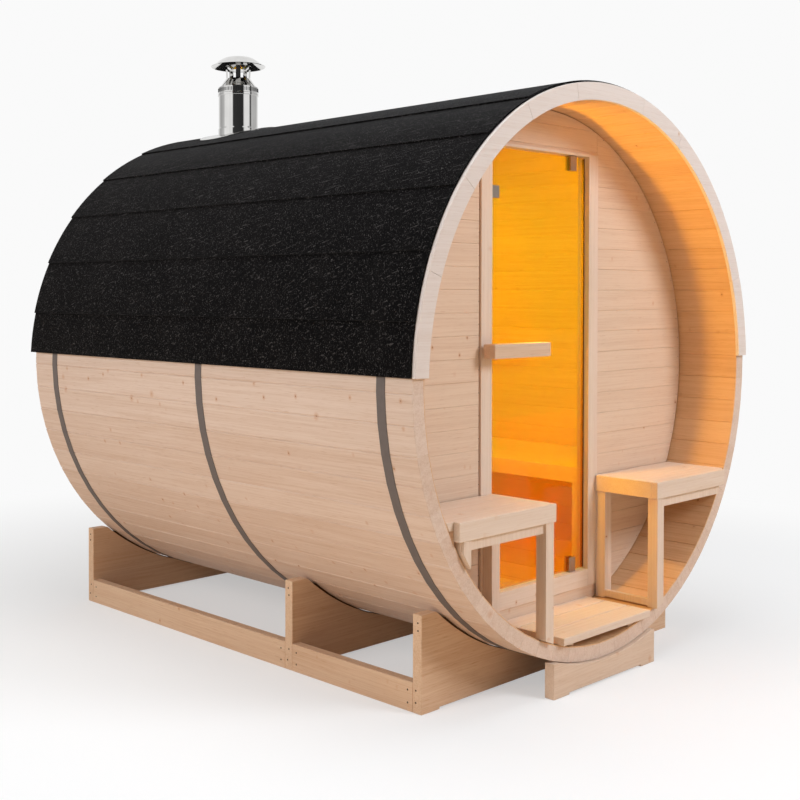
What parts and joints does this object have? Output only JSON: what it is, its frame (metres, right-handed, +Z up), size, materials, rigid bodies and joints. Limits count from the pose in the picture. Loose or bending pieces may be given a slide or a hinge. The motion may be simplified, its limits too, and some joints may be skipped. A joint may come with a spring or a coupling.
{
  "type": "barrel sauna",
  "caption": "Staved timber barrel cabin on cradles, with a felt roof, a porch with two benches, a swinging glass door and a chimney.",
  "frame": {"origin": "on the ground, under the middle of the building's box", "axes": "+X to the right seen from the porch, +Y from the porch to the rear along the barrel, +Z up"},
  "size_m": [2.0234, 2.186, 2.404],
  "materials": {
    "stave_wood": "planed spruce",
    "wall_wood": "planed spruce boards",
    "frame_wood": "planed spruce",
    "door_glass": "amber tinted clear glass",
    "handle_wood": "planed spruce",
    "fitting_steel": "brushed",
    "bench_wood": "planed spruce",
    "floor_wood": "planed spruce",
    "trim_wood": "planed spruce",
    "roof_felt": "bitumen felt",
    "hoop_steel": "galvanised band",
    "base_wood": "planed spruce",
    "chimney_steel": "bright stainless"
  },
  "bodies": {
    "building": {"base_rails": "base_wood", "cabin_bench": "bench_wood", "cabin_bench_legs": "bench_wood", "cabin_floor": "floor_wood", "chimney_cowl": "chimney_steel", "chimney_flashing": "chimney_steel", "chimney_pipe": "chimney_steel", "cradle_front": "base_wood", "cradle_middle": "base_wood", "cradle_rear": "base_wood", "door_head_and_sill": "frame_wood", "door_jamb_left": "frame_wood", "door_jamb_right": "frame_wood", "floor_joists": "floor_wood", "front_support": "base_wood", "front_trim": "trim_wood", "front_wall_base": "wall_wood", "front_wall_left": "wall_wood", "front_wall_right": "wall_wood", "front_wall_top": "wall_wood", "hoops": "hoop_steel", "porch_deck": "floor_wood", "porch_seat_frame_left": "bench_wood", "porch_seat_frame_right": "bench_wood", "porch_seat_left": "bench_wood", "porch_seat_right": "bench_wood", "rear_wall": "wall_wood", "roof_left": "roof_felt", "roof_ridge": "roof_felt", "roof_right": "roof_felt", "staves_01": "stave_wood", "staves_02": "stave_wood", "staves_03": "stave_wood", "staves_04": "stave_wood", "staves_05": "stave_wood", "staves_06": "stave_wood", "staves_07": "stave_wood", "staves_08": "stave_wood", "staves_09": "stave_wood", "staves_10": "stave_wood", "staves_11": "stave_wood"},
    "door": {"door_glass": "door_glass", "door_handle": "handle_wood", "door_pivots": "fitting_steel", "door_strikes": "fitting_steel"}
  },
  "joints": [
    {"name": "door_swing", "type": "hinge", "parent": "building", "child": "door", "pos_m": [0.186, -0.8, 1.08], "axis": [0, 0, 1], "range_deg": [0, 90]}
  ]
}
